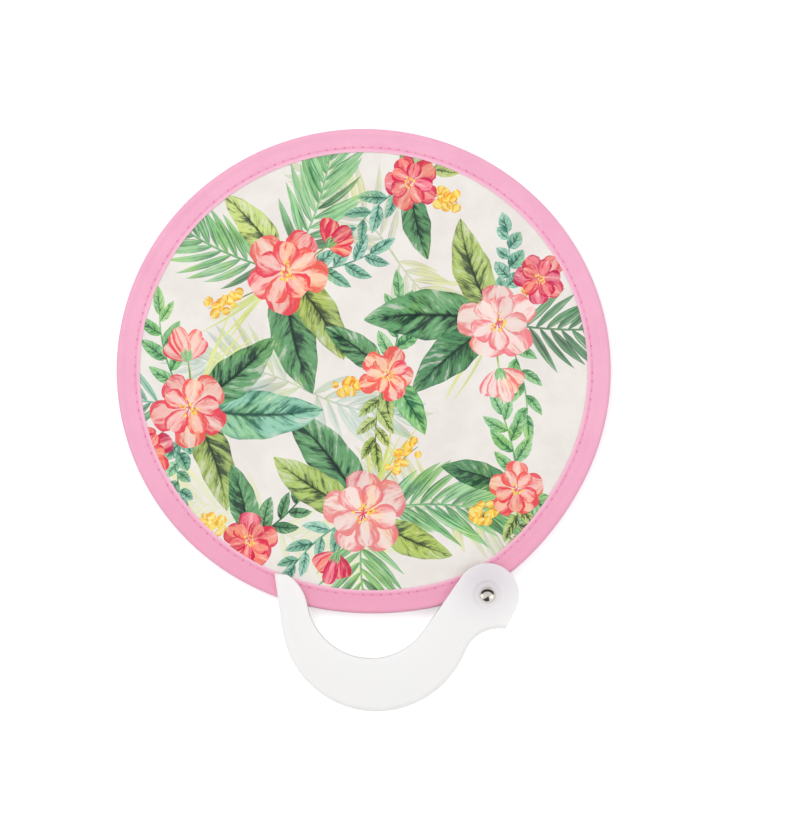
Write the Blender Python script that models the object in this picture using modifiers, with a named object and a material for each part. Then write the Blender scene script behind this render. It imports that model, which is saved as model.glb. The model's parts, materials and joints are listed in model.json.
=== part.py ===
"""Round fabric hand fan: a sprung hoop, bound in tape, swings out of a crescent handle.

The fan lies on its back with the disc open. +X runs to the right, +Y up the disc and +Z
towards the viewer. The origin is under the middle of the whole outline, on the surface
that the handle lies on. Each piece is modelled round the rivet, at the disc's mid-plane.
"""

import math

import bmesh
import bpy
from mathutils import Matrix, Vector

FAN_NAME = "folding_disc_fan"

# Disc, seen from the front
DISC_WIDTH = 0.2500
DISC_HEIGHT = 0.2446
FABRIC_THICKNESS = 0.0003
RIM_PULL = 0.0035               # how far the rivet draws the hoop out of its oval
RIM_PULL_SPREAD = math.radians(19.8)
PIVOT_ANGLE = math.radians(-61.1)
PIVOT_STANDOFF = 0.0030         # from the rim's outer edge to the rivet's axis

# Hoop and its binding
HOOP_WIRE_DIAMETER = 0.0012
HOOP_END_GAP = 0.0006
FERRULE_WALL = 0.00025
FERRULE_LENGTH = 0.0160
FERRULE_OFFSET = math.radians(-17.0)
BINDING_WIDTH = 0.0118
TAPE_THICKNESS = 0.0004
SEWN_GAP = 0.0002

# Strap that ties the hoop to the rivet
STRAP_WIDTH = 0.0100
STRAP_THICKNESS = 0.0005
STRAP_TONGUE = 0.0048           # from the rivet's axis to the strap's free end
EYELET_WALL = 0.0003

# Handle
HANDLE_WALL = 0.0016
POCKET_DEPTH = 0.0076           # clear height between the two faces
HEAD_RADIUS = 0.0160
CRESCENT_LEFT = 0.0560          # from the rivet's axis to the crescent's centre
CRESCENT_DROP = 0.0108
CRESCENT_RADIUS = 0.0482
INNER_RADIUS = 0.0326
GRIP_DEPTH = 0.0267             # breadth of the crescent at its bottom
ARM_WIDTH = 0.0127              # and at its left
NECK_RADIUS = 0.0185
NECK_GAP = 0.0015               # between the neck's hollow arc and the head's circle
BEAK_TURN = math.radians(19.6)  # from the hollow's deepest point to the beak
TIP_START = math.radians(188.0)
TIP_INNER_RADIUS = 0.0221
TIP_WIDTH = 0.0066
TIP_SLANT = math.radians(-5.0)
TIP_REACH = 0.0106              # how far the tip's left corner reaches over the binding
OUTER_ROUND = 0.0026
EDGE_ROUND = 0.0004
JAW_GAP = 0.0005                # above and below the binding, between the jaws
DISH_RADIUS = 0.0077
DISH_SLOPE = 0.0015
FRONT_DISH_DEPTH = 0.0008
CAP_SETBACK = 0.0002            # keeps the rivet's back off the table

# Rivet
RIVET_STEM_RADIUS = 0.0010
RIVET_TUBE_WALL = 0.0003
RIVET_DOME_RADIUS = 0.00405
RIVET_DOME_HEIGHT = 0.0022
RIVET_CAP_RADIUS = 0.0036
RIVET_CAP_THICKNESS = 0.0007
RIVET_CAP_CHAMFER = 0.0002

SEAT_GAP = 0.0003               # between pieces that touch or turn on each other

RIM_STEP = math.tau / 84
ARC_STEP = math.radians(6.0)
SMALL_ARC_STEP = math.radians(20.0)
ROUND_SEGMENTS = 4
TURNED_STEPS = 28
ROLL_STEPS = 9
CROSSING_ROUNDS = 8
WELD = 0.000001                 # points nearer than this are one point
CUT_MARGIN = 0.0010             # how far a cutter runs past what it cuts

# Sizes that follow from the ones above
FERRULE_BORE = HOOP_WIRE_DIAMETER / 2 + SEWN_GAP
FERRULE_RADIUS = FERRULE_BORE + FERRULE_WALL
CHANNEL_RADIUS = FERRULE_RADIUS + SEWN_GAP
ROLL_RADIUS = CHANNEL_RADIUS + TAPE_THICKNESS
FLAP_INNER = FABRIC_THICKNESS / 2 + SEWN_GAP
FLAP_OUTER = FLAP_INNER + TAPE_THICKNESS
FABRIC_INSET = 2 * ROLL_RADIUS + SEAT_GAP

LOOP_BORE = HOOP_WIRE_DIAMETER / 2 + SEAT_GAP
LOOP_RADIUS = LOOP_BORE + STRAP_THICKNESS
HOOP_DISTANCE = PIVOT_STANDOFF + ROLL_RADIUS
NOTCH_DEPTH = ROLL_RADIUS + LOOP_RADIUS + SEAT_GAP

CRESCENT_CENTRE = Vector((-CRESCENT_LEFT, -CRESCENT_DROP))
CRESCENT_CORNER = CRESCENT_CENTRE - Vector((CRESCENT_RADIUS, CRESCENT_RADIUS))
INNER_CENTRE = CRESCENT_CORNER + Vector((ARM_WIDTH + INNER_RADIUS, GRIP_DEPTH + INNER_RADIUS))
POCKET_HALF = POCKET_DEPTH / 2
HANDLE_HALF = POCKET_HALF + HANDLE_WALL
RIVET_TUBE_BORE = RIVET_STEM_RADIUS + SEAT_GAP
RIVET_TUBE_RADIUS = RIVET_TUBE_BORE + RIVET_TUBE_WALL
PIVOT_HOLE_RADIUS = RIVET_TUBE_RADIUS + SEAT_GAP
EYELET_RADIUS = PIVOT_HOLE_RADIUS + EYELET_WALL
FLANGE_RADIUS = HOOP_DISTANCE - LOOP_RADIUS - SEAT_GAP
FLANGE_LOW = STRAP_THICKNESS + SEAT_GAP
FLANGE_HIGH = FLANGE_LOW + EYELET_WALL
BOSS_END = FLANGE_HIGH + SEAT_GAP
FRONT_FLOOR = HANDLE_HALF - FRONT_DISH_DEPTH
BACK_DISH_DEPTH = SEAT_GAP + RIVET_CAP_THICKNESS + CAP_SETBACK
BACK_FLOOR = HANDLE_HALF - BACK_DISH_DEPTH


def polar(centre, radius, angle):
    return centre + radius * Vector((math.cos(angle), math.sin(angle)))


def arc(centre, radius, start, end, step=ARC_STEP):
    steps = max(2, math.ceil(abs(end - start) / step))
    return [polar(centre, radius, start + (end - start) * i / steps) for i in range(steps + 1)]


def triangle_angle(side, other_side, opposite):
    """The angle between two sides of a triangle, from its three sides."""
    return math.acos((side ** 2 + other_side ** 2 - opposite ** 2) / (2 * side * other_side))


def rim_radius(angle):
    """Distance from the disc's centre to the rim: an oval, drawn out near the rivet."""
    half_width = DISC_WIDTH / 2
    half_height = DISC_HEIGHT / 2
    oval = half_width * half_height / math.hypot(half_height * math.cos(angle), half_width * math.sin(angle))
    offset = math.remainder(angle - PIVOT_ANGLE, math.tau)
    return oval + RIM_PULL * math.exp(-((offset / RIM_PULL_SPREAD) ** 2))


PIVOT_DISTANCE = rim_radius(PIVOT_ANGLE) + PIVOT_STANDOFF
DISC_CENTRE = -polar(Vector((0, 0)), PIVOT_DISTANCE, PIVOT_ANGLE)
INWARD = DISC_CENTRE.normalized()
OUTLINE_TOP = DISC_CENTRE.y + DISC_HEIGHT / 2
OUTLINE_BOTTOM = CRESCENT_CORNER.y
PIVOT = Vector((-DISC_CENTRE.x, -(OUTLINE_TOP + OUTLINE_BOTTOM) / 2, HANDLE_HALF))


def rim_point(angle, inset=0.0):
    return polar(DISC_CENTRE, rim_radius(angle) - inset, angle)


def rim_path(inset, start=PIVOT_ANGLE, end=PIVOT_ANGLE + math.tau):
    """Points along the rim, this far in from its outer edge, with both ends."""
    steps = max(1, round((end - start) / RIM_STEP))
    return [rim_point(start + (end - start) * i / steps, inset) for i in range(steps + 1)]


def angle_on_disc(point):
    spoke = point - DISC_CENTRE
    return math.atan2(spoke.y, spoke.x)


def srgb(red, green, blue):
    """Linear colour from the three values that a picture shows."""
    return [(c / 12.92 if c <= 0.04045 else ((c + 0.055) / 1.055) ** 2.4) for c in (red, green, blue)] + [1.0]


def material(name, colour, roughness, metallic=0.0):
    made = bpy.data.materials.new(name)
    made.use_nodes = True
    shader = made.node_tree.nodes["Principled BSDF"]
    shader.inputs["Base Color"].default_value = colour
    shader.inputs["Roughness"].default_value = roughness
    shader.inputs["Metallic"].default_value = metallic
    made.diffuse_color = colour
    return made


def place(piece, carrier, look):
    """Puts a piece in the fan's collection, on the body that carries it."""
    bpy.data.collections[FAN_NAME].objects.link(piece)
    piece.parent = carrier
    piece.data.materials.clear()
    piece.data.materials.append(look)
    return piece


def guide(piece, carrier):
    """Puts a cutter among the cutters, where nothing renders."""
    bpy.data.collections["cutters"].objects.link(piece)
    piece.parent = carrier
    piece.display_type = "WIRE"
    piece.hide_render = True
    return piece


def outline_curve(name, outlines, thickness=0.0):
    """A filled flat shape from closed outlines, of which later ones are holes."""
    data = bpy.data.curves.new(name, "CURVE")
    data.dimensions = "2D"
    data.fill_mode = "BOTH" if thickness else "NONE"
    data.extrude = thickness / 2
    for outline in outlines:
        spline = data.splines.new("POLY")
        spline.points.add(len(outline) - 1)
        for point, spot in zip(spline.points, outline):
            point.co = (spot[0], spot[1], 0, 1)
        spline.use_cyclic_u = True
    return bpy.data.objects.new(name, data)


def mesh_object(curve, name):
    """Turns a curve into one welded mesh object at the same place."""
    scene_objects = bpy.context.scene.collection.objects
    scene_objects.link(curve)
    bpy.context.view_layer.update()
    graph = bpy.context.evaluated_depsgraph_get()
    mesh = bpy.data.meshes.new_from_object(curve.evaluated_get(graph))
    mesh.name = name
    bm = bmesh.new()
    bm.from_mesh(mesh)
    bmesh.ops.remove_doubles(bm, verts=bm.verts, dist=WELD)
    if all(len(edge.link_faces) == 2 for edge in bm.edges):
        bmesh.ops.recalc_face_normals(bm, faces=bm.faces)
    bm.to_mesh(mesh)
    bm.free()
    made = bpy.data.objects.new(name, mesh)
    made.matrix_world = curve.matrix_world
    bpy.data.objects.remove(curve)
    return made


def plate(name, outlines, thickness):
    return mesh_object(outline_curve(name + "_outline", outlines, thickness), name)


def swept_ring(name, path, section):
    """A closed section carried round a closed path; the section's x points inwards."""
    ring = outline_curve(name + "_path", [path])
    profile = outline_curve(name + "_section", [section])
    ring.data.bevel_mode = "OBJECT"
    ring.data.bevel_object = profile
    made = mesh_object(ring, name)
    bpy.data.objects.remove(profile)
    return made


def tube(name, path, radius, capped):
    """A round rod or open tube along a path that has two ends."""
    data = bpy.data.curves.new(name + "_path", "CURVE")
    data.dimensions = "3D"
    data.bevel_depth = radius
    data.bevel_resolution = 2
    data.use_fill_caps = capped
    spline = data.splines.new("POLY")
    spline.points.add(len(path) - 1)
    for point, spot in zip(spline.points, path):
        point.co = (spot[0], spot[1], 0, 1)
    return mesh_object(bpy.data.objects.new(name + "_path", data), name)


def turned(name, profile, closed=False):
    """A profile of (radius, height) points turned about the rivet's axis."""
    mesh = bpy.data.meshes.new(name)
    edges = [(i, i + 1) for i in range(len(profile) - 1)]
    if closed:
        edges.append((len(profile) - 1, 0))
    mesh.from_pydata([(radius, 0, height) for radius, height in profile], edges, [])
    made = bpy.data.objects.new(name, mesh)
    screw = made.modifiers.new("turn", "SCREW")
    screw.angle = math.tau
    screw.steps = screw.render_steps = TURNED_STEPS
    screw.use_merge_vertices = True
    screw.merge_threshold = WELD
    return made


def boolean(piece, operation, tool):
    modifier = piece.modifiers.new(tool.name, "BOOLEAN")
    modifier.operation = operation
    modifier.object = tool
    modifier.solver = "EXACT"


def shade_round(piece, angle=math.radians(35)):
    piece.data.shade_smooth()
    piece.data.set_sharp_from_angle(angle=angle)


# Disc

def binding_section():
    """The folded tape cut across: a roll round the hoop and two flaps over the fabric."""
    flare_out = math.asin(FLAP_OUTER / ROLL_RADIUS)
    flare_in = math.asin(FLAP_INNER / CHANNEL_RADIUS)
    centre = Vector((ROLL_RADIUS, 0))

    def bend(radius, flare, back):
        turns = [flare + (math.tau - 2 * flare) * i / ROLL_STEPS for i in range(ROLL_STEPS + 1)]
        points = [polar(centre, radius, turn) for turn in turns]
        return points[::-1] if back else points

    outside = bend(ROLL_RADIUS, flare_out, False)
    inside = bend(CHANNEL_RADIUS, flare_in, True)
    ends_back = [(BINDING_WIDTH, -FLAP_OUTER), (BINDING_WIDTH, -FLAP_INNER)]
    ends_front = [(BINDING_WIDTH, FLAP_INNER), (BINDING_WIDTH, FLAP_OUTER)]
    return outside + ends_back + inside + ends_front


def add_binding(disc):
    binding = swept_ring("binding_tape", rim_path(0)[:-1], binding_section())
    notch_half = STRAP_WIDTH / 2 + SEAT_GAP
    along = INWARD * (PIVOT_STANDOFF + NOTCH_DEPTH / 2 - CUT_MARGIN)
    bpy.ops.mesh.primitive_cube_add(size=1)
    notch = bpy.context.object
    notch.name = "strap_notch"
    for home in list(notch.users_collection):
        home.objects.unlink(notch)
    notch.data.transform(Matrix.Diagonal((NOTCH_DEPTH + 2 * CUT_MARGIN, 2 * notch_half, 3 * ROLL_RADIUS, 1)))
    notch.rotation_euler.z = PIVOT_ANGLE
    notch.location = (along.x, along.y, 0)
    boolean(binding, "DIFFERENCE", guide(notch, disc))
    shade_round(binding)
    place(binding, disc, material("binding_pink", srgb(0.95, 0.66, 0.77), 0.85))


def add_fabric(disc):
    fabric = plate("disc_fabric", [rim_path(FABRIC_INSET)[:-1]], FABRIC_THICKNESS)
    place(fabric, disc, material("fabric_cream", srgb(0.93, 0.91, 0.89), 0.9))


def add_hoop(disc):
    """The sprung wire is one open ring whose ends meet inside a crimped tube."""
    joint_angle = PIVOT_ANGLE + FERRULE_OFFSET
    hoop_radius = rim_radius(joint_angle) - ROLL_RADIUS
    half_gap = HOOP_END_GAP / 2 / hoop_radius
    half_ferrule = FERRULE_LENGTH / 2 / hoop_radius
    wire_path = rim_path(ROLL_RADIUS, joint_angle + half_gap, joint_angle + math.tau - half_gap)
    wire = tube("hoop_wire", wire_path, HOOP_WIRE_DIAMETER / 2, True)
    shade_round(wire, math.radians(60))
    place(wire, disc, material("spring_steel", srgb(0.60, 0.60, 0.62), 0.35, 1.0))
    sleeve_path = rim_path(ROLL_RADIUS, joint_angle - half_ferrule, joint_angle + half_ferrule)
    ferrule = tube("hoop_ferrule", sleeve_path, FERRULE_RADIUS, False)
    wall = ferrule.modifiers.new("wall", "SOLIDIFY")
    wall.thickness = FERRULE_WALL
    wall.offset = -1
    place(ferrule, disc, material("ferrule_steel", srgb(0.72, 0.72, 0.73), 0.4, 1.0))


def add_strap(disc):
    """A strap folded round the bare hoop, with its two ends laid together at the rivet."""
    hoop = Vector((HOOP_DISTANCE, 0))
    flare = math.asin(STRAP_THICKNESS / LOOP_RADIUS)
    loop = arc(hoop, LOOP_RADIUS, math.pi - flare, flare - math.pi, SMALL_ARC_STEP)
    tongue = [(-STRAP_TONGUE, -STRAP_THICKNESS), (-STRAP_TONGUE, STRAP_THICKNESS)]
    bore = arc(hoop, LOOP_BORE, 0, math.tau, SMALL_ARC_STEP)[:-1]
    strap = plate("pivot_tab", [tongue + loop, bore], STRAP_WIDTH)
    across = Vector((INWARD.x, INWARD.y, 0))
    upright = Vector((0, 0, 1))
    strap.data.transform(Matrix((across, upright, across.cross(upright))).transposed().to_4x4())
    hole = turned("strap_hole", [
        (0, CUT_MARGIN + STRAP_THICKNESS), (EYELET_RADIUS + SEAT_GAP, CUT_MARGIN + STRAP_THICKNESS),
        (EYELET_RADIUS + SEAT_GAP, -CUT_MARGIN - STRAP_THICKNESS), (0, -CUT_MARGIN - STRAP_THICKNESS)])
    boolean(strap, "DIFFERENCE", guide(hole, disc))
    shade_round(strap)
    place(strap, disc, material("strap_pink", srgb(0.92, 0.62, 0.74), 0.85))
    eyelet = turned("tab_eyelet", [
        (PIVOT_HOLE_RADIUS, FLANGE_HIGH), (FLANGE_RADIUS, FLANGE_HIGH),
        (FLANGE_RADIUS, FLANGE_LOW), (EYELET_RADIUS, FLANGE_LOW),
        (EYELET_RADIUS, -FLANGE_LOW), (FLANGE_RADIUS, -FLANGE_LOW),
        (FLANGE_RADIUS, -FLANGE_HIGH), (PIVOT_HOLE_RADIUS, -FLANGE_HIGH)], closed=True)
    shade_round(eyelet)
    place(eyelet, disc, material("eyelet_nickel", srgb(0.80, 0.79, 0.77), 0.3, 1.0))


# Handle

def tip_corner():
    """Where the tip's straight left edge, which leaves the crescent's arc as a tangent,
    has reached over the rim."""
    foot = polar(CRESCENT_CENTRE, CRESCENT_RADIUS, TIP_START)
    corner = foot
    for _ in range(CROSSING_ROUNDS):
        shortfall = (corner - DISC_CENTRE).length - rim_radius(angle_on_disc(corner)) + TIP_REACH
        upward = Vector((math.sin(TIP_START), -math.cos(TIP_START)))
        slant = upward.dot((DISC_CENTRE - corner).normalized())
        corner = corner + upward * shortfall / slant
    return corner


def walled_run():
    """The outline's closed side, from the tip's left corner round to the beak."""
    to_neck = CRESCENT_RADIUS + NECK_RADIUS
    neck_to_rivet = HEAD_RADIUS + NECK_GAP + NECK_RADIUS
    to_rivet = math.atan2(-CRESCENT_CENTRE.y, -CRESCENT_CENTRE.x)
    neck_start = to_rivet - triangle_angle(CRESCENT_CENTRE.length, to_neck, neck_to_rivet)
    neck_centre = polar(CRESCENT_CENTRE, to_neck, neck_start)
    neck_end = math.atan2(-neck_centre.y, -neck_centre.x) - BEAK_TURN
    run = [tip_corner()]
    run += arc(CRESCENT_CENTRE, CRESCENT_RADIUS, TIP_START, math.tau + neck_start)
    run += arc(neck_centre, NECK_RADIUS, neck_start + math.pi, neck_end)[1:]
    return run


def open_run(beak, tip):
    """The outline's open side, from the beak over the head and back to the tip."""
    beak_reach = math.acos(HEAD_RADIUS / beak.length)
    head_start = math.atan2(beak.y, beak.x) + beak_reach
    across = -INNER_CENTRE
    across_angle = math.atan2(across.y, across.x)
    lean = math.acos((INNER_RADIUS + HEAD_RADIUS) / across.length)
    origin = Vector((0, 0))
    right_corner = polar(tip, TIP_WIDTH, TIP_SLANT)
    reach = right_corner - INNER_CENTRE
    centres = INNER_RADIUS + TIP_INNER_RADIUS
    turn_back = triangle_angle(reach.length, centres, TIP_INNER_RADIUS)
    tip_start = math.atan2(reach.y, reach.x) + turn_back
    tip_centre = polar(INNER_CENTRE, centres, tip_start)
    to_corner = right_corner - tip_centre
    tip_end = math.atan2(to_corner.y, to_corner.x)
    run = arc(origin, HEAD_RADIUS, head_start, across_angle + math.pi - lean)
    run += arc(INNER_CENTRE, INNER_RADIUS, across_angle - lean, tip_start - math.tau)
    run += arc(tip_centre, TIP_INNER_RADIUS, tip_start - math.pi, tip_end)[1:]
    return run


def handle_shell():
    """Two faces and the wall that joins them: a surface, thickened inwards."""
    walled = walled_run()
    shell = plate("handle", [walled + open_run(walled[-1], walled[0])], 2 * HANDLE_HALF)

    def on_wall(face):
        return all(min((v.co.xy - point).length for point in walled) < WELD for v in face.verts)

    def is_flat(face):
        return abs(face.normal.z) > 0.5

    bm = bmesh.new()
    bm.from_mesh(shell.data)
    bm.normal_update()
    bmesh.ops.dissolve_edges(bm, edges=[e for e in bm.edges if all(map(is_flat, e.link_faces))])
    open_side = [f for f in bm.faces if not is_flat(f) and not on_wall(f)]
    bmesh.ops.delete(bm, geom=open_side, context="FACES")
    weight = bm.edges.layers.float.new("bevel_weight_edge")
    for edge in bm.edges:
        if len(edge.link_faces) == 2 and any(map(is_flat, edge.link_faces)):
            edge[weight] = 1.0
    bm.to_mesh(shell.data)
    bm.free()
    rounding = shell.modifiers.new("outer_round", "BEVEL")
    rounding.limit_method = "WEIGHT"
    rounding.width = OUTER_ROUND
    rounding.segments = ROUND_SEGMENTS
    wall = shell.modifiers.new("wall", "SOLIDIFY")
    wall.thickness = HANDLE_WALL
    wall.offset = -1
    wall.use_even_offset = True
    edges = shell.modifiers.new("edge_round", "BEVEL")
    edges.limit_method = "ANGLE"
    edges.angle_limit = math.radians(50)
    edges.width = EDGE_ROUND
    edges.segments = 2
    return shell


def pivot_seat(side, floor, name, handle):
    """The bump and boss inside one face, and the dish outside it, for side +1 or -1."""
    flare = DISH_SLOPE / (HANDLE_HALF - floor)
    dish_radius = DISH_RADIUS - DISH_SLOPE
    dish_top = HANDLE_HALF + CUT_MARGIN
    bump_radius = dish_radius + HANDLE_WALL / 2
    bump_face = floor - HANDLE_WALL
    bump_root = POCKET_HALF + HANDLE_WALL / 2
    bump = [(0, bump_root), (bump_radius + flare * (bump_root - bump_face), bump_root),
            (bump_radius, bump_face), (FLANGE_RADIUS, bump_face), (FLANGE_RADIUS, BOSS_END), (0, BOSS_END)]
    dish = [(0, dish_top), (dish_radius + flare * (dish_top - floor), dish_top), (dish_radius, floor), (0, floor)]
    made = []
    for label, profile in (("bump", bump), ("dish", dish)):
        if side < 0:
            profile = [(radius, -height) for radius, height in reversed(profile)]
        made.append(guide(turned(name + "_" + label, profile), handle))
    return made


def add_handle(carrier):
    handle = handle_shell()
    front_bump, front_dish = pivot_seat(1, FRONT_FLOOR, "front", carrier)
    back_bump, back_dish = pivot_seat(-1, BACK_FLOOR, "back", carrier)
    through = HANDLE_HALF + CUT_MARGIN
    hole = guide(turned("rivet_hole", [
        (0, through), (PIVOT_HOLE_RADIUS, through), (PIVOT_HOLE_RADIUS, -through), (0, -through)]), carrier)
    tip_angle = angle_on_disc(tip_corner())
    seat_half = ARM_WIDTH / PIVOT_DISTANCE
    seat_path = [DISC_CENTRE] + rim_path(-SEAT_GAP, tip_angle - seat_half, tip_angle + seat_half)
    seat = guide(plate("rim_seat", [seat_path], 2 * (ROLL_RADIUS + JAW_GAP)), carrier)
    boolean(handle, "DIFFERENCE", seat)
    boolean(handle, "UNION", front_bump)
    boolean(handle, "UNION", back_bump)
    for tool in (front_dish, back_dish, hole):
        boolean(handle, "DIFFERENCE", tool)
    shade_round(handle)
    place(handle, carrier, material("handle_frosted", srgb(0.94, 0.94, 0.95), 0.4))


# Rivet

def add_rivet(carrier):
    dome_base = FRONT_FLOOR + SEAT_GAP
    cap_inside = -(BACK_FLOOR + SEAT_GAP)
    cap_outside = cap_inside - RIVET_CAP_THICKNESS
    sphere = (RIVET_DOME_RADIUS ** 2 + RIVET_DOME_HEIGHT ** 2) / (2 * RIVET_DOME_HEIGHT)
    sphere_centre = dome_base + RIVET_DOME_HEIGHT - sphere
    spread = math.asin(RIVET_DOME_RADIUS / sphere)
    turns = [spread * i / 8 for i in range(9)]
    dome = [(sphere * math.sin(turn), sphere_centre + sphere * math.cos(turn)) for turn in turns]
    stem_end = cap_inside + SEAT_GAP
    stem = [(RIVET_STEM_RADIUS, dome_base), (RIVET_STEM_RADIUS, stem_end), (0, stem_end)]
    post = turned("rivet_post", dome + stem)
    shade_round(post)
    place(post, carrier, material("rivet_nickel", srgb(0.85, 0.84, 0.82), 0.15, 1.0))
    tube_end = dome_base - SEAT_GAP
    chamfer_height = cap_outside + RIVET_CAP_CHAMFER
    cap = turned("rivet_cap", [
        (0, cap_inside), (RIVET_TUBE_BORE, cap_inside), (RIVET_TUBE_BORE, tube_end),
        (RIVET_TUBE_RADIUS, tube_end), (RIVET_TUBE_RADIUS, cap_inside),
        (RIVET_CAP_RADIUS, cap_inside), (RIVET_CAP_RADIUS, chamfer_height),
        (RIVET_CAP_RADIUS - RIVET_CAP_CHAMFER, cap_outside), (0, cap_outside)])
    shade_round(cap)
    place(cap, carrier, material("cap_nickel", srgb(0.82, 0.81, 0.79), 0.25, 1.0))


def body(name):
    """An empty on the rivet's axis that carries one rigid body."""
    empty = bpy.data.objects.new(name, None)
    bpy.context.scene.collection.objects.link(empty)
    empty.location = PIVOT
    return empty


def build():
    for old in list(bpy.data.objects):
        bpy.data.objects.remove(old)
    for name in (FAN_NAME, "cutters"):
        bpy.context.scene.collection.children.link(bpy.data.collections.new(name))
    handle_body = body("handle_body")
    disc_body = body("disc_body")
    add_handle(handle_body)
    add_rivet(handle_body)
    add_fabric(disc_body)
    add_binding(disc_body)
    add_hoop(disc_body)
    add_strap(disc_body)
    bpy.context.view_layer.update()


build()
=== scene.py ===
"""Looks of the round fabric hand fan: printed cloth, sewn binding, frosted handle, rivet.

The fan lies on its back, seen from straight above: +X to the right, +Y up the disc.
Lengths are metres, except in the print, which is drawn in millimetres round the disc's
centre and scaled once, when its mesh is made.
"""

import json
import math
import random

import bmesh
import bpy
import numpy as np
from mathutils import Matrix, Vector, geometry


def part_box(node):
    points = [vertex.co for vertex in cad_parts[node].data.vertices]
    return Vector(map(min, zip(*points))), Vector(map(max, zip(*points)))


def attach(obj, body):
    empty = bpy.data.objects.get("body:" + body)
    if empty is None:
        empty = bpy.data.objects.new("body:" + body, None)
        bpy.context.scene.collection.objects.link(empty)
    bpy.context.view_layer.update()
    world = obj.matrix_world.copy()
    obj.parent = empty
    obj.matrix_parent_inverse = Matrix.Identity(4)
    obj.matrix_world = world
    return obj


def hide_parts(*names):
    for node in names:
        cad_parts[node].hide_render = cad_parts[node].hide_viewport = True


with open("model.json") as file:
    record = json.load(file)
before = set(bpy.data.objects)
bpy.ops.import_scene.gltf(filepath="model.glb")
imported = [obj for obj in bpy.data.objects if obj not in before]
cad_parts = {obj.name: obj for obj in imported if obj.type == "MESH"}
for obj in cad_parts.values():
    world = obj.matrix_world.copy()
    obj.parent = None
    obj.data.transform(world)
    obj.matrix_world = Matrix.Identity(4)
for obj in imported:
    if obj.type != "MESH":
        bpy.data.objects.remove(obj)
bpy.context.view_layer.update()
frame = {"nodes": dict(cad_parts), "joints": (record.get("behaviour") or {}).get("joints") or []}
NODES = frame["nodes"]
PIVOT = Vector(frame["joints"][0]["pos_m"])

# The disc, as the solids have it
DISC_WIDTH = 0.2500
DISC_HEIGHT = 0.2446
RIM_PULL = 0.0035
RIM_PULL_SPREAD = math.radians(19.8)
FABRIC_INSET = 0.0036
FABRIC_THICKNESS = 0.0003
CHANNEL_RADIUS = 0.00125
ROLL_RADIUS = 0.00165
FLAP_INNER = 0.00035
FLAP_OUTER = 0.00075
BINDING_WIDTH = 0.0118
STRAP_NOTCH = (0.00335, 0.0106)  # depth from the rim's edge, and length along it
PINK_RISE = 0.0095              # from the rivet up to where the painted pink shade in the head is deepest

tape_low, tape_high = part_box("binding_tape")
PLANE = (tape_low.z + tape_high.z) / 2
CENTRE = Vector(((tape_low.x + tape_high.x) / 2, tape_high.y - DISC_HEIGHT / 2))
PIVOT_ANGLE = math.atan2(PIVOT.y - CENTRE.y, PIVOT.x - CENTRE.x)

# Tape and stitches
STITCH_PITCH = 0.0049
STITCH_INSET = 0.0094
STEPS_A_STITCH = 8
THREAD_RADIUS = 0.00016
THREAD_SIDES = 8
DRIFT = 0.00006                 # by which the row of stitches wanders
SLOW_DRIFT = 0.00004
GROOVE_DEPTH = 0.00008          # by which the row of stitches draws the tape in
HOLE_DEPTH = 0.00020            # by which a needle hole draws it in further
HOLE_TUCK = 0.00010             # by which its lip moves out beside a hole
PULL_WIDTH = 0.0006             # of the groove, to each side of the stitches
SLACK = 0.00007                 # heights of the waves in the tape
FINE_SLACK = 0.00004
SLOPE_WIDTH = 0.0036            # over which the tape comes down from the wire to the cloth
LIP_ROUND = 0.0005              # width of the lip's rounded edge
LIP_RISE = 0.00008              # height of the folded lip over the tape beside it
LIP_INSET = 0.0107              # of its highest line from the rim's edge

# Print and cloth
MILLIMETRES = 1000              # in a metre
PRINT_SEED = 5
OUTLINE_STEP = 1.6              # from point to point of a stroke's edge, in millimetres
FEWEST_STEPS = 6                # along each side of a stroke
MOST_STEPS = 26
HEM_POINTS = 240                # round the cloth's edge
GRID_PITCH = 4.5                # of the points that fill the cloth, in millimetres
GRID_MARGIN = 8                 # from them to the rim, in millimetres
CUT_TOLERANCE = 0.001           # in millimetres
PUCKER = 0.00030                # heights of the waves in the stretched cloth
FINE_PUCKER = 0.00012
BROAD_WAVE = 0.00045

# Lengths that repeat in the weaves and in the thread
CLOTH_WEAVE = 0.0005
TAPE_WEAVE = 0.00052
STRAP_WEAVE = 0.0006
THREAD_TWIST = 0.0007

# Shading
WELD = 0.000001                 # corners of faces this near are one
CREASE = math.radians(25)       # a sharper edge of a solid than this stays an edge
CLOTH_CREASE = math.radians(40)
TAPE_CREASE = math.radians(55)

# Photograph
IMAGE_SIZE = (800, 833)
DISC_CENTRE_PIXEL = (363.7, 370.7)
PIXEL = 0.0005059               # real size of a pixel at the disc
LENS = 220.0
SENSOR = 36.0

# Studio
TABLE_SIZE = 12.0
TABLE_GLOW = 0.40               # lifts the lit table to paper white where it is seen
AMBIENT = 0.76                  # share of the light that the white room gives
LAMPS = {                       # place, width in metres and power in watts
    "key": ((-0.45, 0.55, 1.10), 0.70, 4.2),
    "fill": ((0.55, -0.35, 1.00), 0.50, 0.8),
}


def colour(red, green, blue):
    """Linear colour from the values 0 to 255 that a picture shows."""
    shares = (value / 255 for value in (red, green, blue))
    return tuple(share / 12.92 if share <= 0.04045 else ((share + 0.055) / 1.055) ** 2.4
                 for share in shares)


WHITE = (1.0, 1.0, 1.0)
TABLE_COLOUR = colour(245, 245, 245)


def blend(first, second, share):
    return tuple(start + (end - start) * share for start, end in zip(first, second))


# Rim

def rim_radius(angle):
    """Distance from the disc's centre to the rim, for an array of angles."""
    half_width = DISC_WIDTH / 2
    half_height = DISC_HEIGHT / 2
    oval = half_width * half_height / np.hypot(half_height * np.cos(angle), half_width * np.sin(angle))
    offset = np.remainder(angle - PIVOT_ANGLE + math.pi, math.tau) - math.pi
    return oval + RIM_PULL * np.exp(-((offset / RIM_PULL_SPREAD) ** 2))


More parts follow.
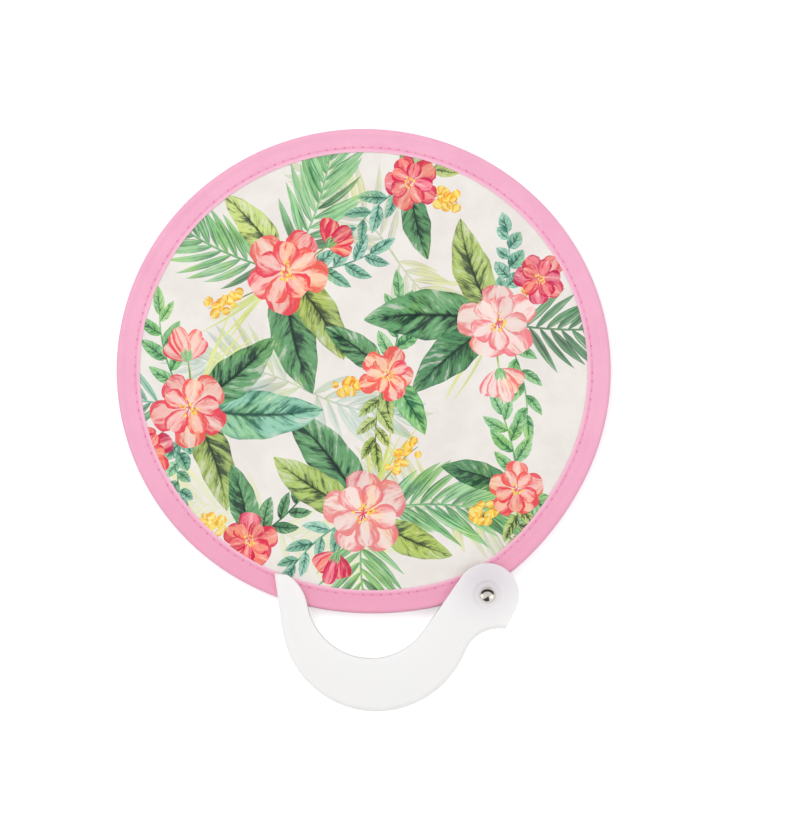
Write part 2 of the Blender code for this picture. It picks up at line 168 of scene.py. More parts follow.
class Rim:
    """Evenly spaced places along the rim, from the rivet round to it again."""

    def __init__(self, fine=7200):
        self.angles = PIVOT_ANGLE + math.tau * np.arange(fine + 1) / fine
        steps = np.hypot(*np.diff(self.at(self.angles), axis=0).T)
        self.lengths = np.concatenate(((0,), np.cumsum(steps)))
        self.total = self.lengths[-1]

    def along(self, distances):
        """Points on the rim at these distances, and the unit normals that point inwards."""
        angle = np.interp(distances, self.lengths, self.angles)
        nudge = 0.001
        before, here, after = (self.at(angle + turn) for turn in (-nudge, 0, nudge))
        tangent = after - before
        tangent /= np.hypot(*tangent.T)[:, None]
        return here, np.stack((-tangent[:, 1], tangent[:, 0]), 1)

    def at(self, angle):
        radius = rim_radius(angle)
        return np.stack((CENTRE.x + radius * np.cos(angle), CENTRE.y + radius * np.sin(angle)), 1)


RIM = Rim()
STITCHES = round(RIM.total / STITCH_PITCH)
PITCH = RIM.total / STITCHES


# Material nodes

class Nodes:
    """Short calls for the nodes of one node tree."""

    def __init__(self, tree):
        self.tree = tree

    def node(self, kind, inputs=(), **settings):
        made = self.tree.nodes.new("ShaderNode" + kind)
        for setting, value in settings.items():
            setattr(made, setting, value)
        for socket, value in dict(inputs).items():
            self.feed(made.inputs[socket], value)
        return made

    def feed(self, socket, value):
        """Gives a socket a link, a colour or a plain value."""
        if isinstance(value, bpy.types.NodeSocket):
            self.tree.links.new(value, socket)
        elif isinstance(value, tuple) and socket.type == "RGBA":
            socket.default_value = (*value, 1)
        else:
            socket.default_value = value

    def math(self, operation, first, second=0.0, third=0.0):
        made = self.node("Math", operation=operation)
        for socket, value in zip(made.inputs, (first, second, third)):
            self.feed(socket, value)
        return made.outputs[0]

    def spread(self, value, low, high, to_low=0.0, to_high=1.0):
        """The value from low to high, eased into to_low to to_high."""
        made = self.node("MapRange", interpolation_type="SMOOTHSTEP")
        for socket, number in zip(made.inputs, (value, low, high, to_low, to_high)):
            self.feed(socket, number)
        return made.outputs[0]

    def mix(self, share, first, second, blend_type="MIX"):
        made = self.node("Mix", data_type="RGBA", blend_type=blend_type)
        self.feed(made.inputs[0], share)
        self.feed(made.inputs[6], first)
        self.feed(made.inputs[7], second)
        return made.outputs[2]

    def tint(self, base, share, strength, over):
        """The base mixed with another colour, by a share that varies times a strength."""
        return self.mix(self.math("MULTIPLY", share, strength), base, over)

    def parts(self, vector):
        return self.node("SeparateXYZ", {"Vector": vector}).outputs

    def joined(self, x, y, z):
        return self.node("CombineXYZ", {"X": x, "Y": y, "Z": z}).outputs[0]

    def attribute(self, name):
        return self.node("Attribute", attribute_name=name).outputs

    def noise(self, vector, scale, detail=3.0, roughness=0.55):
        made = self.node("TexNoise", {"Vector": vector, "Scale": scale, "Detail": detail,
                                      "Roughness": roughness})
        return made.outputs[0]


class Shader(Nodes):
    """The nodes of one material, which is a Principled BSDF at its end."""

    def __init__(self, name, **settings):
        self.material = bpy.data.materials.new(name)
        self.material.use_nodes = True
        super().__init__(self.material.node_tree)
        self.surface = self.tree.nodes["Principled BSDF"]
        for setting, value in settings.items():
            self.set(setting.replace("_", " ").title().replace("Ior", "IOR"), value)

    def set(self, socket, value):
        self.feed(self.surface.inputs[socket], value)

    def place(self):
        """Where a point is on the piece, in metres, which stays with the piece as it moves."""
        return self.node("TexCoord").outputs["Object"]

    def bump(self, height, distance, strength=1.0):
        made = self.node("Bump", {"Height": height, "Distance": distance, "Strength": strength})
        self.set("Normal", made.outputs[0])


def add_piece(name, mesh, material):
    """Puts a piece with this mesh and material on the disc."""
    piece = bpy.data.objects.new(name, mesh)
    bpy.context.scene.collection.objects.link(piece)
    mesh.materials.append(material)
    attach(piece, "disc")
    return piece


def weave(shader, threads, pitch):
    """Height of a plain weave whose threads run along the two values given, in metres."""
    waves = [shader.math("SINE", shader.math("MULTIPLY", thread, math.tau / pitch)) for thread in threads]
    return shader.math("MULTIPLY", *waves)


# Printed cloth. A paint is a pair of colours, pale and deep.

PAPER = colour(241, 237, 231)
FRESH = [(colour(158, 212, 152), colour(54, 132, 84)), (colour(132, 198, 128), colour(40, 112, 72))]
TEAL = [(colour(160, 212, 190), colour(44, 120, 100)), (colour(128, 192, 160), colour(30, 98, 80))]
DARK = [(colour(106, 168, 112), colour(20, 58, 48)), (colour(84, 148, 98), colour(26, 74, 56))]
OLIVE = [(colour(200, 218, 132), colour(72, 92, 58)), (colour(176, 200, 110), colour(58, 82, 52))]
GRASS = [(colour(226, 232, 160), colour(190, 208, 92))]
CORAL = [(colour(251, 190, 182), colour(238, 70, 92)), (colour(252, 204, 188), colour(244, 96, 92))]
BLUSH = [(colour(252, 226, 218), colour(244, 142, 142)), (colour(251, 216, 210), colour(240, 120, 132))]
MAGENTA = [(colour(248, 132, 150), colour(206, 20, 84)), (colour(250, 150, 130), colour(226, 44, 84))]
YELLOW = [(colour(253, 230, 120), colour(243, 172, 44)), (colour(252, 218, 92), colour(238, 146, 40))]

# How a kind of brush stroke is painted: deep paint at its midrib, tip and edges, the
# strength of its side veins, and how much it covers
STEM = (0.30, 0.00, 0.00, 0.0, 1.00)
LEAFLET = (0.30, -0.30, 0.15, 0.0, 0.90)
LEAF = (0.40, -0.30, 0.05, 1.0, 0.97)
PETAL = (-0.45, 0.22, 0.50, 0.0, 0.95)
FAINT = (0.10, -0.20, 0.10, 0.0, 0.38)
BERRY = (-0.50, 0.10, 0.45, 0.0, 0.97)

# The outline of a kind of stroke, at its base and at its tip: a small number makes that end
# blunt, and a large one makes it slender
STEM_FORM = (0.12, 0.25)
LEAFLET_FORM = (0.7, 1.0)
LAST_LEAFLET_FORM = (0.6, 1.0)
LEAF_FORM = (0.6, 0.85)
GRASS_FORM = (0.35, 0.9)
PETAL_FORM = (0.8, 0.4)
SEPAL_FORM = (0.5, 0.9)
ROUND_FORM = (0.5, 0.5)


def heading(angle):
    return Vector((math.cos(angle), math.sin(angle)))


class Stroke:
    """One painted shape on a curved spine: a leaf, leaflet, petal, berry or stem."""

    def __init__(self, start, turn, length, width, bend, form, manner, paint, wobble=0.0):
        self.start = start
        self.turn = turn
        self.length = length
        self.half = width / 2
        self.bend = bend if abs(bend) > 0.01 else 0.01
        self.form = form
        low, high = form
        peak = low / (low + high)
        self.top = peak ** low * (1 - peak) ** high
        self.manner = manner
        self.paint = paint
        self.wobble = wobble
        self.seed = (12.9 * start.x + 78.2 * start.y + turn) % 50

    def half_width(self, share):
        if not 0 < share < 1:
            return 0.0
        low, high = self.form
        uneven = 1 + 0.07 * math.sin(7 * share + self.wobble) * math.sin(17 * share + 2 * self.wobble)
        return self.half * share ** low * (1 - share) ** high / self.top * uneven

    def spot(self, share, left=0.0):
        """The point at a share of the spine's length and a distance to its left."""
        radius = self.length / self.bend
        angle = share * self.bend
        ahead = (radius - left) * math.sin(angle)
        side = radius - (radius - left) * math.cos(angle)
        along, across = heading(self.turn), heading(self.turn + math.pi / 2)
        return self.start + along * ahead + across * side

    def direction(self, share):
        return self.turn + share * self.bend

    def outline(self):
        """The closed edge, counter-clockwise, and the spine's points inside it."""
        reach = math.hypot(self.length, 2 * self.half)
        count = max(FEWEST_STEPS, min(MOST_STEPS, round(reach / OUTLINE_STEP)))
        shares = [0.5 - 0.5 * math.cos(math.pi * step / count) for step in range(count + 1)]
        inner = shares[1:-1]
        right = [self.spot(share, -self.half_width(share)) for share in inner]
        left = [self.spot(share, self.half_width(share)) for share in reversed(inner)]
        return [self.spot(0)] + right + [self.spot(1)] + left, [self.spot(share) for share in inner]

    def where(self, point):
        """How far across, from -1 to 1, and along, from 0 to 1, a point of the shape lies."""
        reach = point - self.start
        ahead = reach.dot(heading(self.turn))
        side = reach.dot(heading(self.turn + math.pi / 2))
        radius = self.length / self.bend
        way = math.copysign(1, radius)
        share = math.atan2(ahead, way * (radius - side)) / (way * self.bend)
        left = radius - way * math.hypot(ahead, radius - side)
        return left / max(self.half_width(min(max(share, 0.03), 0.97)), 0.05), share

    def holds(self, point):
        """Whether the point is in the shape, with a little room for its cut edge."""
        across, along = self.where(point)
        return abs(across) < 1.15 and -0.02 < along < 1.02


def vary(rng, paints):
    """One of these paints, mixed with another and made a little lighter or darker."""
    first, second = rng.choice(paints), rng.choice(paints)
    share = rng.random()
    light = rng.uniform(0.93, 1.08)
    return [tuple(min(1.0, value * light) for value in blend(one, other, share))
            for one, other in zip(first, second)]


def stem(rng, start, turn, length, bend, paints, width=0.9):
    return Stroke(start, turn, length, width, bend, STEM_FORM, STEM, vary(rng, paints))


def frond(rng, start, turn, length, bend, paints, pairs=11, reach=27.0, manner=LEAFLET):
    """A feather leaf: slender leaflets in pairs along a curved stalk."""
    stalk = stem(rng, start, turn, length, bend, paints, 1.1)
    stalk.manner = manner
    strokes = []
    for pair in range(pairs):
        share = 0.14 + 0.82 * pair / (pairs - 1)
        size = reach * (0.55 + 0.62 * math.sin(math.pi * (0.16 + 0.72 * share)))
        for side in (-1, 1):
            lean = side * (1.0 - 0.5 * share + rng.uniform(-0.08, 0.08))
            paint = vary(rng, DARK if manner is LEAFLET and rng.random() < 0.15 else paints)
            strokes.append(Stroke(stalk.spot(share - 0.015 * side), stalk.direction(share) + lean,
                                  size * rng.uniform(0.82, 1.1), rng.uniform(3.2, 4.9),
                                  -side * rng.uniform(0.05, 0.5), LEAFLET_FORM, manner, paint,
                                  rng.uniform(0, 6)))
    strokes.append(Stroke(stalk.spot(1), stalk.direction(1), reach * 0.8, 3.6, bend * 0.2,
                          LAST_LEAFLET_FORM, manner, vary(rng, paints)))
    rng.shuffle(strokes)
    return strokes + [stalk]


def leaf(rng, start, turn, length, width, bend, paints):
    return [Stroke(start, turn, length, width, bend, LEAF_FORM, LEAF, vary(rng, paints),
                   rng.uniform(0, 6))]


def sprig(rng, start, turn, length, bend, paints, leaves=6, size=17.0, plump=0.42):
    """A twig with leaves on alternate sides and one at its end."""
    twig = stem(rng, start, turn, length, bend, paints)
    strokes = [twig]
    for number in range(leaves):
        share = 0.16 + 0.76 * number / (leaves - 1)
        side = -1 if number % 2 else 1
        length = size * rng.uniform(0.8, 1.1) * (1.1 - 0.4 * share)
        strokes += leaf(rng, twig.spot(share), twig.direction(share) + side * rng.uniform(0.7, 1.0),
                        length, length * rng.uniform(0.9, 1.1) * plump,
                        -side * rng.uniform(0.1, 0.5), paints)
    return strokes + leaf(rng, twig.spot(1), twig.direction(1), size * 0.9, size * 0.8 * plump,
                          0.1, paints)


def berry(rng, centre, size, paints):
    turn = rng.uniform(0, math.tau)
    return Stroke(centre - size / 2 * heading(turn), turn, size, size, 0.0, ROUND_FORM, BERRY,
                  vary(rng, paints))


def berry_twig(rng, start, turn, length, bend, paints, berries=14):
    """A thin twig that ends in a loose bunch of berries."""
    twig = stem(rng, start, turn, length, bend, OLIVE, 0.8)
    strokes = [twig]
    for number in range(berries):
        spot = twig.spot(0.5 + 0.5 * number / (berries - 1), rng.uniform(-4.2, 4.2))
        strokes.append(berry(rng, spot, rng.uniform(3.4, 5.4), paints))
    return strokes


def petal(rng, start, turn, length, width, paints):
    return Stroke(start, turn, length, width, rng.uniform(-0.35, 0.35), PETAL_FORM, PETAL,
                  vary(rng, paints), rng.uniform(0, 6))


def blossom(rng, centre, size, paints, petals=5):
    """Open flower: two rounds of petals and a tuft of stamens."""
    turn = rng.uniform(0, math.tau)
    strokes = []
    for reach, shift in ((0.5, 0.0), (0.36, 0.5)):
        for number in range(petals):
            way = turn + math.tau * (number + shift) / petals + rng.uniform(-0.12, 0.12)
            strokes.append(petal(rng, centre + 0.05 * size * heading(way), way,
                                 size * reach * rng.uniform(0.88, 1.06),
                                 size * reach * rng.uniform(0.78, 0.98), paints))
    for _ in range(3 * petals):
        way = rng.uniform(0, math.tau)
        reach = size * rng.uniform(0.03, 0.13)
        strokes.append(stem(rng, centre, way, reach, 0.1, MAGENTA, size * 0.02))
        strokes.append(berry(rng, centre + reach * heading(way), size * rng.uniform(0.035, 0.055), YELLOW))
    return strokes


def half_open(rng, start, turn, size, paints):
    """Flower seen from its side on a short stalk, with its petals fanned out."""
    stalk = stem(rng, start, turn, size * 0.7, 0.25, OLIVE, 1.1)
    end, way = stalk.spot(1), stalk.direction(1)
    strokes = [stalk]
    for lean in (-0.85, 0.85, -0.45, 0.45, 0.0):
        strokes.append(petal(rng, end, way + lean,
                             size * rng.uniform(0.8, 0.95) * (1 - 0.2 * abs(lean)),
                             size * rng.uniform(0.36, 0.44), paints))
    for lean in (-0.7, 0.0, 0.7):
        strokes.append(Stroke(end - 0.5 * heading(way), way + lean, size * 0.34, size * 0.13, -lean,
                              SEPAL_FORM, LEAFLET, vary(rng, FRESH)))
    return strokes


def grass(rng, start, turn, length, blades=5):
    return [Stroke(start, turn + rng.uniform(-0.3, 0.3), length * rng.uniform(0.6, 1.0), 1.5,
                   rng.uniform(-0.4, 0.4), GRASS_FORM, LEAFLET, vary(rng, GRASS))
            for _ in range(blades)]


class Posy:
    """A loose bunch round one place. What it holds is painted in three layers. A thing is
    added by its direction from that place in degrees, its gap from it, and its sizes."""

    def __init__(self, rng, distance, direction, turn):
        self.rng = rng
        self.centre = distance * heading(math.radians(direction))
        self.turn = math.radians(turn)
        self.layers = ([], [], [])

    def add(self, layer, maker, degrees, gap, *sizes):
        way = self.turn + math.radians(degrees)
        self.layers[layer].extend(maker(self.rng, self.centre + gap * heading(way), way, *sizes))

    def flower(self, degrees, gap, size, paints):
        spot = self.centre + gap * heading(self.turn + math.radians(degrees))
        self.layers[2].extend(blossom(self.rng, spot, size, paints))


def lush_posy(rng, distance, direction, turn, petals, greens):
    posy = Posy(rng, distance, direction, turn)
    posy.add(0, grass, 215, 8, 50)
    posy.add(0, frond, 48, 5, 62, 0.45, greens)
    posy.add(0, frond, 158, 5, 64, -0.5, greens)
    posy.add(1, leaf, 262, 6, 58, 23, 0.4, DARK)
    posy.add(1, leaf, 302, 6, 48, 19, -0.35, OLIVE)
    posy.add(1, leaf, 112, 8, 42, 16, 0.3, OLIVE)
    posy.add(1, sprig, 350, 8, 36, 0.5, TEAL)
    posy.add(2, berry_twig, 205, 8, 36, -0.4, YELLOW)
    posy.add(2, half_open, 18, 12, 18, MAGENTA)
    posy.flower(0, 0, 40, petals)
    return posy


def leafy_posy(rng, distance, direction, turn, petals, greens):
    posy = Posy(rng, distance, direction, turn)
    posy.add(0, frond, 200, 6, 66, 0.35, greens)
    posy.add(0, grass, 90, 8, 48)
    posy.add(0, sprig, 150, 8, 42, -0.5, FRESH)
    posy.add(1, leaf, 20, 6, 62, 25, 0.35, greens)
    posy.add(1, leaf, 62, 6, 50, 20, 0.3, DARK)
    posy.add(1, leaf, 330, 6, 50, 19, -0.4, OLIVE)
    posy.add(1, sprig, 282, 8, 38, 0.5, TEAL, 7, 12, 0.7)
    posy.add(2, half_open, 118, 10, 20, petals)
    posy.add(2, berry_twig, 250, 8, 28, 0.3, YELLOW)
    posy.flower(0, 0, 36, petals)
    posy.flower(255, 31, 25, MAGENTA)
    return posy


def small_spray(rng, distance, direction, turn, petals, greens):
    posy = Posy(rng, distance, direction, turn)
    posy.add(0, sprig, 10, 3, 36, 0.4, greens)
    posy.add(0, sprig, 190, 3, 32, 0.4, OLIVE)
    posy.add(1, leaf, 75, 4, 36, 14, 0.3, DARK)
    posy.add(1, leaf, 250, 4, 32, 13, -0.3, FRESH)
    posy.add(2, berry_twig, 130, 4, 22, 0.3, YELLOW)
    posy.flower(0, 0, 26, petals)
    return posy


def faint_fronds(rng, distance, direction, turn, paints):
    posy = Posy(rng, distance, direction, turn)
    posy.add(0, frond, 0, -3, 60, 0.5, paints, 9, 26.0, FAINT)
    posy.add(0, frond, 180, -3, 50, 0.5, paints, 8, 24.0, FAINT)
    return posy


def print_design():
    """Every brush stroke of the print, in the order of painting, in millimetres."""
    rng = random.Random(PRINT_SEED)
    posies = [
        faint_fronds(rng, 60, 75, 120, OLIVE),
        faint_fronds(rng, 30, 200, 150, TEAL),
        faint_fronds(rng, 78, 300, 330, OLIVE),
        faint_fronds(rng, 92, 240, 150, GRASS),
        lush_posy(rng, 64, 128, 10, CORAL, FRESH),
        leafy_posy(rng, 72, 20, 150, BLUSH, DARK),
        lush_posy(rng, 72, 270, 215, BLUSH, FRESH),
        leafy_posy(rng, 90, 192, 330, CORAL, TEAL),
        small_spray(rng, 98, 76, 200, MAGENTA, TEAL),
        small_spray(rng, 98, 322, 80, CORAL, FRESH),
        small_spray(rng, 12, 350, 60, CORAL, FRESH),
        small_spray(rng, 104, 236, 20, MAGENTA, DARK),
    ]
    return [stroke for layer in range(3) for posy in posies for stroke in posy.layers[layer]]


def cut_print(strokes):
    """Cuts the flat cloth along the edge of every stroke. Gives the points, the triangles
    and, for each triangle, the numbers of the strokes that cover it."""
    rim, inward = RIM.along(RIM.total * np.arange(HEM_POINTS) / HEM_POINTS)
    hem = (rim + inward * FABRIC_INSET - np.array(CENTRE)) * MILLIMETRES
    points, spines, shapes = [Vector(spot) for spot in hem], [], [list(range(HEM_POINTS))]
    for stroke in strokes:
        outline, spine = stroke.outline()
        shapes.append(list(range(len(points), len(points) + len(outline))))
        points += outline
        spines += [(spot, spot + 1) for spot in range(len(points), len(points) + len(spine) - 1)]
        points += spine
    reach = DISC_WIDTH * MILLIMETRES / 2
    rows = int(reach / GRID_PITCH) + 1
    for row in range(-rows, rows + 1):
        for column in range(-rows, rows + 1):
            spot = Vector((column + 0.5 * (row % 2), row * math.sin(math.pi / 3))) * GRID_PITCH
            if spot.length < reach - GRID_MARGIN:
                points.append(spot)
    inside_only = 1
    spots, _, triangles, _, _, owners = geometry.delaunay_2d_cdt(points, spines, shapes, inside_only,
                                                                 CUT_TOLERANCE, True)
    return spots, triangles, owners


def ripple(x, y):
    """Height of the stretched cloth over its plane: slack waves that die out at the binding."""
    radius = np.hypot(x, y)
    angle = np.arctan2(y, x)
    edge = rim_radius(angle) - BINDING_WIDTH
    share = np.clip(radius / edge, 0, 1)
    pucker = PUCKER * np.sin(9 * angle + 1.3 * np.sin(3 * angle)) + FINE_PUCKER * np.sin(17 * angle + 2.0)
    broad = BROAD_WAVE * np.sin(x * 46 + 0.7) * np.sin(y * 38 + 1.9)
    return (pucker * share ** 3 + broad) * np.clip((1 - share) * 6, 0, 1)


def make_cloth():
    """The printed disc as one thin closed sheet, its print on both faces."""
    strokes = print_design()
    points, triangles, covers = cut_print(strokes)
    front, paints = [], []
    for corners, owners in zip(triangles, covers):
        if 0 not in owners:
            continue
        front.append(corners)
        middle = sum((points[spot] for spot in corners), Vector((0, 0))) / 3
        stack = [strokes[owner - 1] for owner in sorted(owners) if owner]
        stack = [stroke for stroke in stack if stroke.holds(middle)]
        paints += [corner_paint(stack, points[spot], middle) for spot in corners]
    kept = sorted({spot for corners in front for spot in corners})
    count = len(kept)
    place = dict(zip(kept, range(count)))
    front = [tuple(place[spot] for spot in corners) for corners in front]
    flat = np.array([tuple(points[spot]) for spot in kept]) / MILLIMETRES
    base = np.column_stack((flat + np.array(CENTRE), PLANE + ripple(flat[:, 0], flat[:, 1])))
    lift = np.array((0, 0, FABRIC_THICKNESS / 2))
    uses = {pair for corners in front for pair in zip(corners, corners[1:] + corners[:1])}
    hem = [(here, after) for here, after in uses if (after, here) not in uses]
    faces = front + [tuple(spot + count for spot in reversed(corners)) for corners in front]
    faces += [(after, here, here + count, after + count) for here, after in hem]
    mesh = bpy.data.meshes.new("printed_cloth")
    mesh.from_pydata(np.concatenate((base + lift, base - lift)).tolist(), [], faces)

    paints = np.array(paints)
    width = paints.shape[1]
    behind = paints.reshape(-1, 3, width)[:, ::-1].reshape(-1, width)
    hemmed = np.tile(np.array(corner_paint([], None, None)), (4 * len(hem), 1))
    store_paints(mesh, np.concatenate((paints, behind, hemmed)).astype(np.float32))
    mesh.shade_smooth()
    mesh.set_sharp_from_angle(angle=CLOTH_CREASE)
    piece = add_piece("printed_cloth", mesh, cloth_material())
    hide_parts("disc_fabric")


def corner_paint(stack, point, middle):
    """Pale and deep colour, place in the top stroke, its veins (-1 on bare cloth), its manner
    and seed, at one corner of a triangle whose middle says on which side of a midrib it is."""
    pale = deep = PAPER
    place, manner, seed = (0.0, 0.0, -1.0), (0.0, 0.0, 0.0), 0.0
    for stroke in stack:
        across, along = stroke.where(point)
        side = stroke.where(middle)[0]
        cover = stroke.manner[4]
        pale = blend(pale, stroke.paint[0], cover)
        deep = blend(deep, stroke.paint[1], cover)
        across = math.copysign(min(max(abs(across), 0.001), 1.0), side)
        place = (across, min(max(along, 0.0), 1.0), stroke.manner[3])
        manner, seed = stroke.manner[:3], stroke.seed
    return (*pale, *deep, *place, *manner, seed)


def store_paints(mesh, paints):
    """Keeps what corner_paint gives for each corner in the mesh, for the cloth's material."""
    opaque = np.ones((len(paints), 1), np.float32)
    for name, first in (("print_pale", 0), ("print_deep", 3)):
        layer = mesh.color_attributes.new(name, "FLOAT_COLOR", "CORNER")
        layer.data.foreach_set("color", np.hstack((paints[:, first:first + 3], opaque)).ravel())
    for name, first in (("print_stroke", 6), ("print_manner", 9)):
        layer = mesh.attributes.new(name, "FLOAT_VECTOR", "CORNER")
        layer.data.foreach_set("vector", paints[:, first:first + 3].ravel())
    layer = mesh.attributes.new("print_seed", "FLOAT", "CORNER")
    layer.data.foreach_set("value", paints[:, 12].ravel())


def cloth_material():
    """Watercolour on cream cloth: washes and brush marks in each stroke, with pooled edges."""
    shader = Shader("printed_cloth", roughness=0.82, sheen_weight=0.12, sheen_roughness=0.5)
    place = shader.place()
    pale = shader.node("VertexColor", layer_name="print_pale").outputs["Color"]
    deep = shader.node("VertexColor", layer_name="print_deep").outputs["Color"]
    across, along, veined = shader.parts(shader.attribute("print_stroke")["Vector"])
    rib, tip, edge = shader.parts(shader.attribute("print_manner")["Vector"])
    inked = shader.math("GREATER_THAN", veined, -0.5)
    veined = shader.math("MAXIMUM", veined, 0.0)
    apart = shader.math("ABSOLUTE", across)
    near = shader.math("SUBTRACT", 1.0, apart)
    left = shader.math("GREATER_THAN", across, 0.0)
    cloud = shader.noise(place, 70, 3, 0.6)
    grain = shader.noise(place, 900, 4, 0.7)

    # Marks of the brush, along a petal or leaflet and along the side veins of a leaf
    seed = shader.math("MULTIPLY_ADD", left, 7.0, shader.attribute("print_seed")["Fac"])
    slant = shader.math("SUBTRACT", shader.math("MULTIPLY", along, 12.0),
                        shader.math("MULTIPLY", apart, 2.4))
    lengthways = shader.joined(shader.math("MULTIPLY", across, 2.6),
                               shader.math("MULTIPLY", along, 1.3), seed)
    brush = shader.mix(veined, lengthways, shader.joined(slant, apart, seed))
    streak = shader.noise(brush, 1.1, 2, 0.55)
    bristle = shader.noise(brush, 4.2, 2, 0.6)

    # How much deep paint lies on the pale one
    amount = shader.math("MULTIPLY_ADD", shader.math("POWER", near, 2.0), rib, 0.04)
    amount = shader.math("MULTIPLY_ADD", along, tip, amount)
    amount = shader.math("MULTIPLY_ADD", shader.math("POWER", apart, 3.0), edge, amount)
    amount = shader.math("MULTIPLY_ADD", left, 0.20, amount)
    for marks, strength in ((streak, 2.2), (bristle, 0.8), (cloud, 0.9)):
        amount = shader.math("MULTIPLY_ADD", shader.math("SUBTRACT", marks, 0.5), strength, amount)
    paint = shader.mix(shader.spread(amount, -0.02, 0.62), pale, deep)
    thin = shader.mix(0.55, pale, PAPER)
    paint = shader.mix(shader.spread(amount, -0.10, -0.50, 0.0, 0.85), paint, thin)
    sunny = shader.spread(shader.noise(place, 42, 2), 0.50, 0.66, 0.0, 0.55)
    paint = shader.mix(sunny, paint, (1.10, 1.04, 0.60), "MULTIPLY")

    # Veins and midrib of a leaf, and the paint that pools at any stroke's edge
    dark = shader.mix(1.0, deep, (0.40, 0.40, 0.42), "MULTIPLY")
    vein = shader.math("SINE", shader.math("MULTIPLY", shader.math("ADD", slant, streak), math.tau))
    vein = shader.math("MULTIPLY", shader.spread(vein, 0.60, 1.0), shader.spread(bristle, 0.42, 0.60))
    vein = shader.math("MULTIPLY", vein, shader.spread(apart, 0.95, 0.20))
    paint = shader.tint(paint, shader.math("MULTIPLY", vein, veined), 0.62, dark)
    line = shader.math("MULTIPLY", shader.spread(apart, 0.11, 0.02), shader.spread(along, 1.0, 0.6))
    paint = shader.tint(paint, shader.math("MULTIPLY", line, veined), 0.85, dark)
    pool = shader.math("MULTIPLY", shader.spread(apart, 0.78, 0.98), shader.spread(cloud, 0.40, 0.62))
    paint = shader.tint(paint, pool, 0.40, deep)

    # Bare cloth between the strokes, and everything paler on the back
    cloth = shader.mix(shader.spread(cloud, 0.3, 0.7), colour(243, 239, 232), colour(237, 230, 225))
    face = shader.mix(inked, cloth, paint)
    normal = shader.node("TexCoord").outputs["Normal"]
    behind = shader.math("LESS_THAN", shader.parts(normal)[2], 0.0)
    shader.set("Base Color", shader.tint(face, behind, 0.40, PAPER))
    east, north, _ = shader.parts(place)
    threads = weave(shader, (east, north), CLOTH_WEAVE)
    shader.bump(shader.math("ADD", threads, grain), 0.00003, 0.35)
    return shader.material


# Binding

def tape_profile():
    """The folded tape cut across: along its front from the lip to the wire, round the wire,
    back along its back, and then along its inside. Rows of inset from the rim's outer edge,
    height over the disc's plane, and how strongly the stitches pull there."""
    swelling = 0.00012
    lip_width = 0.0007
    lip_height = FLAP_OUTER + LIP_RISE
    front = []
    for turn in np.linspace(0, math.pi / 2, 5)[:-1]:
        front.append((BINDING_WIDTH - LIP_ROUND * (1 - math.cos(turn)),
                      FLAP_INNER + (lip_height - FLAP_INNER) * math.sin(turn)))
    for inset in np.concatenate((np.linspace(BINDING_WIDTH - LIP_ROUND, STITCH_INSET - 0.0014, 13),
                                 np.linspace(STITCH_INSET - 0.0022, ROLL_RADIUS, 10))):
        slope = min(1, (inset - ROLL_RADIUS) / SLOPE_WIDTH)
        height = FLAP_OUTER + (ROLL_RADIUS - FLAP_OUTER) * (0.5 + 0.5 * math.cos(math.pi * slope))
        swell = max(0, math.sin(math.pi * (inset - SLOPE_WIDTH) / (STITCH_INSET - SLOPE_WIDTH)))
        lip = math.exp(-(((inset - LIP_INSET) / lip_width) ** 2))
        front.append((inset, height + swelling * swell + LIP_RISE * lip))
    roll = [(ROLL_RADIUS * (1 + math.cos(turn)), ROLL_RADIUS * math.sin(turn))
            for turn in np.linspace(math.pi / 2, 1.5 * math.pi, 17)[1:-1]]
    back = [(inset, -height) for inset, height in reversed(front)]
    mouth = math.asin(FLAP_INNER / CHANNEL_RADIUS)
    channel = [(ROLL_RADIUS + CHANNEL_RADIUS * math.cos(turn), CHANNEL_RADIUS * math.sin(turn))
               for turn in np.linspace(math.tau - mouth, mouth, 9)]
    inset, height = np.array(front + roll + back + channel).T
    pull = np.exp(-(((inset - STITCH_INSET) / PULL_WIDTH) ** 2)) * outside(height)
    return inset, height, pull


def outside(height):
    """True at heights outside the slot that the cloth is in, so not on the flaps' inner faces."""
    return np.abs(height) > FLAP_INNER + 0.0001


def holes_near(distances):
    """1 at a needle hole and 0 half way to the next, at these places along the rim."""
    return (0.5 + 0.5 * np.cos(math.tau * distances / PITCH)) ** 3


def loop_faces(rows, across):
    """Quads of a closed ring of rows, each row a closed loop of points."""
    faces = []
    for row in range(rows):
        here, after = row * across, (row + 1) % rows * across
        faces += [(here + spot, here + (spot + 1) % across, after + (spot + 1) % across, after + spot)
                  for spot in range(across)]
    return faces


def swept_mesh(name, rim, inward, inset, height):
    """A tube along the rim, from each of its points' insets and heights, row by row."""
    spot = rim[:, None, :] + inward[:, None, :] * inset[:, :, None]
    vertices = np.concatenate((spot, (PLANE + height)[:, :, None]), 2).reshape(-1, 3)
    mesh = bpy.data.meshes.new(name)
    mesh.from_pydata(vertices.tolist(), [], loop_faces(*inset.shape))
    mesh.shade_smooth()
    return mesh


def point_vectors(mesh, name, *columns):
    """Stores three numbers for each point, which the material reads as a vector."""
    layer = mesh.attributes.new(name, "FLOAT_VECTOR", "POINT")
    values = np.stack([column.ravel() for column in columns], 1)
    layer.data.foreach_set("vector", values.astype(np.float32).ravel())


